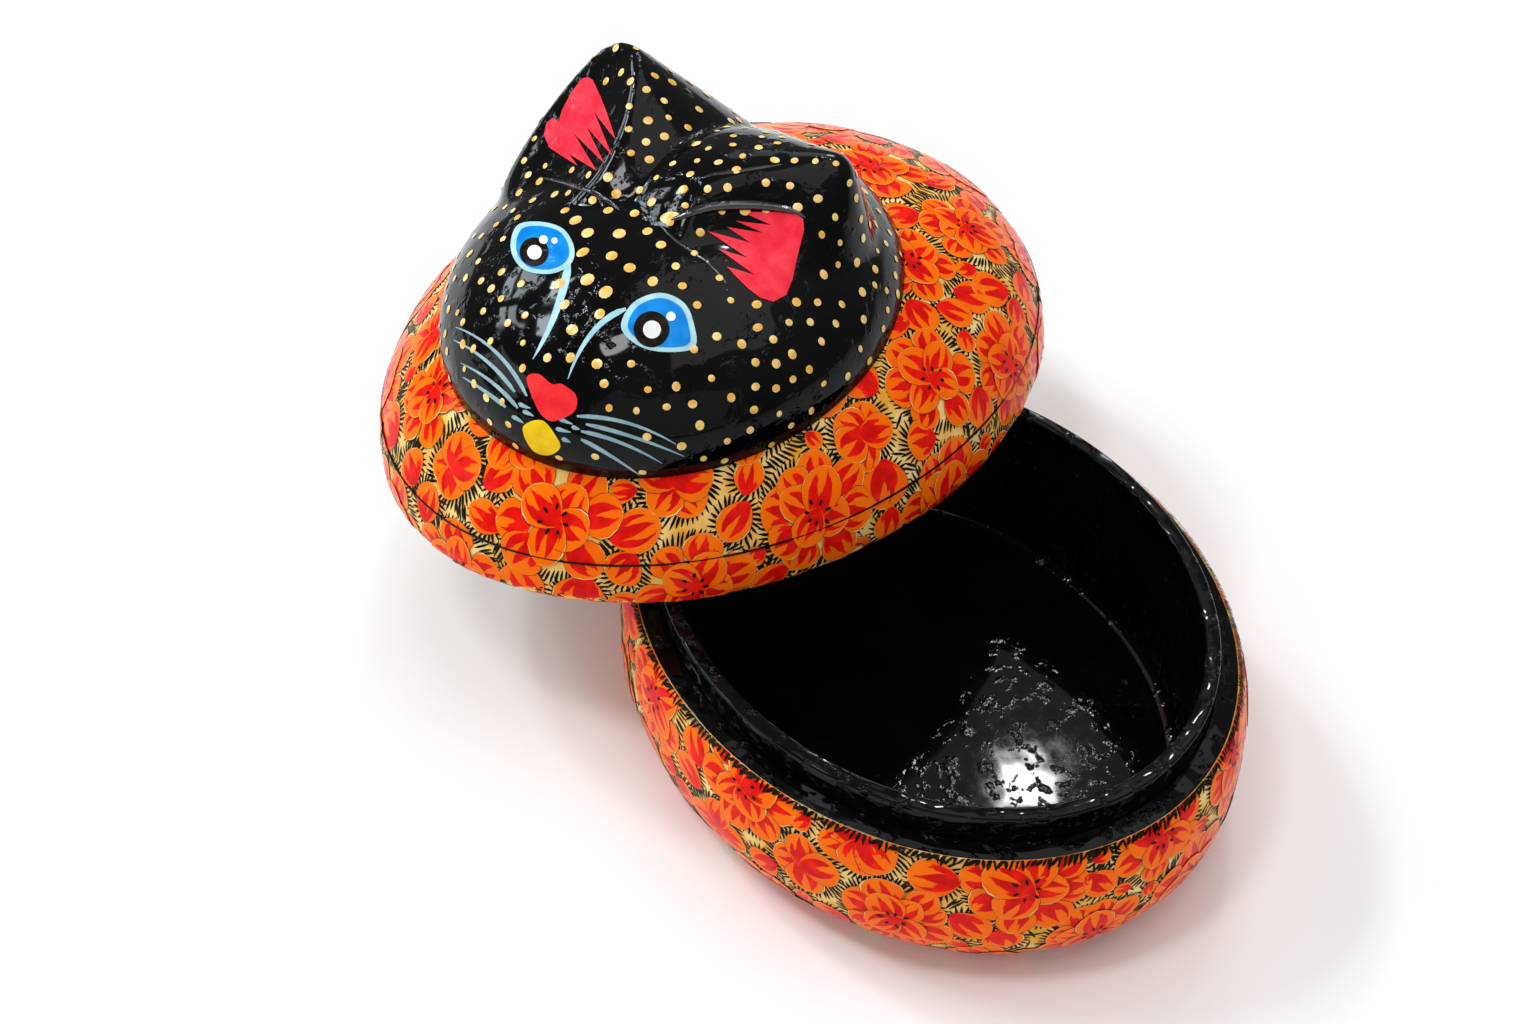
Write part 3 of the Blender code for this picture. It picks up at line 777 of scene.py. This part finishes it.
# The gold dots: single touches of a loaded brush all over the black, larger on the forehead.
# They keep clear of the painted features, which are listed as round places in the view.
DOT_STEP, DOT_CLEARANCE, DOT_DOME = 0.0042, 0.0015, 0.22
BROW_SPOT, BROW_REACH = (597, 275), 62
FEATURES = ((543, 249, 37), (658, 325, 43), (552, 397, 33), (541, 438, 24), (578, 122, 46), (777, 255, 46),
            (730, 245, 32), (600, 150, 26), (553, 310, 12), (545, 340, 12), (595, 340, 12), (495, 375, 20),
            (620, 440, 26), (660, 455, 22))
rng = np.random.default_rng(3)
dots = bmesh.new()
taken = np.zeros((0, 3))
for number in rng.permutation(len(head.data.vertices))[::5]:
    vertex = head.data.vertices[int(number)]
    spot, normal = vertex.co.copy(), vertex.normal.copy()
    away = spot - EYE
    view = (MIDDLE[0] + FOCAL * away.dot(RIGHT) / away.dot(SIGHT),
            MIDDLE[1] - FOCAL * away.dot(UP) / away.dot(SIGHT))
    facing = normal.dot(away) < 0
    if facing and any(math.hypot(view[0] - x, view[1] - y) < radius for x, y, radius in FEATURES):
        continue
    local = lid_place.inverted() @ spot
    if local.z < crown_height(local) + DOT_CLEARANCE:
        continue
    brow = math.exp(-(math.dist(view, BROW_SPOT) / BROW_REACH) ** 2) if facing else 0.0
    if len(taken) and np.min(np.linalg.norm(taken - spot, axis=1)) < DOT_STEP + 0.0012 * brow:
        continue
    taken = np.vstack([taken, spot])
    size = rng.uniform(0.00075, 0.00110) + 0.00075 * brow
    turn = normal.to_track_quat("Z", "Y").to_matrix().to_4x4()
    stretch = Matrix.Diagonal((rng.uniform(0.85, 1.2), rng.uniform(0.85, 1.1), 1.0, 1.0))
    touch = bmesh.ops.create_circle(dots, cap_ends=True, cap_tris=True, segments=10, radius=size,
                                    matrix=Matrix.Translation(spot + normal * DAB_LIFT) @ turn @ stretch)
    for vert in touch["verts"]:
        if (vert.co - spot).length < size / 2:
            vert.co += normal * DOT_DOME * size
dab(dots, [(660, 219), (666, 213), (675, 212), (681, 216), (674, 221), (666, 224)], PATCH_LIFT, 16, 2)
face_piece("gold_dots", dots, paint("dot_gold", (0.82, 0.42, 0.050), (0.96, 0.72, 0.28), 400.0, 0.40))


# The stage: a white ground under soft studio light, seen from the photograph's standpoint.
# Panes of daylight come from the left and from behind; plain white lamps fill in from above and in front.
GROUND_HALF, GROUND_DROP, GROUND_WHITE = 20.0, 0.0002, 0.92
SKY_HEART, SKY_GAIN, SKY_LEAST = (0.15, 0.35, 0.925), 0.28, 0.20
DAYLIGHT, WHITE = (0.84, 0.94, 1.0), (1.0, 1.0, 1.0)
AT_HEAD, AT_BOX, AT_INSIDE = (-0.07, 0, 0.09), (-0.03, 0, 0.05), (0.035, 0, 0.005)
SENSOR = 36.0
bm = bmesh.new()
bmesh.ops.create_grid(bm, x_segments=1, y_segments=1, size=GROUND_HALF)
bmesh.ops.translate(bm, vec=(0, 0, -GROUND_DROP), verts=bm.verts)
mesh = bpy.data.meshes.new("ground")
bm.to_mesh(mesh)
bm.free()
ground_white = bpy.data.materials.new("ground_white")
ground_white.use_nodes = True
tree = ground_white.node_tree
tree.nodes.remove(tree.nodes["Principled BSDF"])
matt = node(tree, "ShaderNodeBsdfDiffuse", {"Color": (GROUND_WHITE, GROUND_WHITE, GROUND_WHITE, 1)})
tree.links.new(matt.outputs[0], tree.nodes["Material Output"].inputs["Surface"])
mesh.materials.append(ground_white)
ground = bpy.data.objects.new("ground", mesh)
bpy.context.scene.collection.objects.link(ground)

world = bpy.data.worlds.new("studio")
world.use_nodes = True
tree = world.node_tree
sky_way = node(tree, "ShaderNodeTexCoord", {}).outputs["Generated"]
facing = node(tree, "ShaderNodeVectorMath", {0: sky_way, 1: SKY_HEART}, operation="DOT_PRODUCT")
level = node(tree, "ShaderNodeMath", {0: facing.outputs["Value"], 1: 0.0}, operation="MAXIMUM").outputs[0]
level = node(tree, "ShaderNodeMath", {0: level, 1: level}, operation="MULTIPLY").outputs[0]
level = node(tree, "ShaderNodeMath", {0: level, 1: SKY_GAIN, 2: SKY_LEAST}, operation="MULTIPLY_ADD").outputs[0]
tree.nodes["Background"].inputs["Color"].default_value = (*WHITE, 1.0)
tree.links.new(level, tree.nodes["Background"].inputs["Strength"])
bpy.context.scene.world = world


def soft_box(name, place, aim, size, watts, colour=WHITE):
    """A rectangular studio light that faces a point."""
    lamp = bpy.data.lights.new(name, "AREA")
    lamp.shape = "RECTANGLE"
    lamp.size, lamp.size_y = size
    lamp.energy = watts
    lamp.color = colour
    made = bpy.data.objects.new(name, lamp)
    made.location = place
    made.rotation_euler = (Vector(aim) - Vector(place)).to_track_quat("-Z", "Y").to_euler()
    bpy.context.scene.collection.objects.link(made)


for across in (-0.27, 0.27):
    soft_box("high_pane", (-1.62 - 0.47 * across, -0.86 + 0.88 * across, 1.98), AT_HEAD, (0.44, 0.24), 9.5, DAYLIGHT)
    for row in (-0.19, 0.19):
        place = (-2.10 - 0.42 * across, -0.93 + 0.91 * across, 1.42 + row)
        soft_box("low_pane", place, AT_HEAD, (0.38, 0.24), 4.0, DAYLIGHT)
soft_box("bright_pane", (-1.86, -0.55, 1.86), AT_HEAD, (0.20, 0.12), 6.0, DAYLIGHT)
soft_box("left_fill", (-1.20, -1.90, 0.80), (-0.05, 0, 0.04), (1.20, 0.80), 7.5)
soft_box("back_window", (-1.56, 1.39, 1.36), AT_HEAD, (0.90, 0.70), 3.0, DAYLIGHT)
soft_box("back_pane", (-1.52, 1.44, 1.36), AT_HEAD, (0.42, 0.30), 6.0, DAYLIGHT)
soft_box("top_lamp", (-0.25, -0.76, 2.25), AT_BOX, (0.34, 0.40), 10.0)
soft_box("sky_card", (0.05, 0.60, 2.50), (-0.05, 0, 0.05), (2.20, 1.80), 18.0)
soft_box("front_lamp", (1.50, -1.05, 0.95), AT_BOX, (2.60, 1.80), 7.0)
soft_box("far_lamp", (-0.985, 1.05, 1.91), AT_INSIDE, (0.075, 0.065), 2.2)
soft_box("far_card", (-1.02, 1.13, 1.90), AT_INSIDE, (0.42, 0.42), 0.4)

lens = bpy.data.cameras.new("standpoint")
lens.sensor_width = SENSOR
lens.lens = FOCAL / (2 * MIDDLE[0]) * lens.sensor_width
lens.clip_start = 0.01
camera = bpy.data.objects.new("standpoint", lens)
turn = Matrix((RIGHT, UP, -SIGHT)).transposed().to_4x4()
camera.matrix_world = Matrix.Translation(EYE) @ turn
bpy.context.scene.collection.objects.link(camera)
bpy.context.scene.camera = camera
bpy.context.scene.view_settings.view_transform = "Standard"
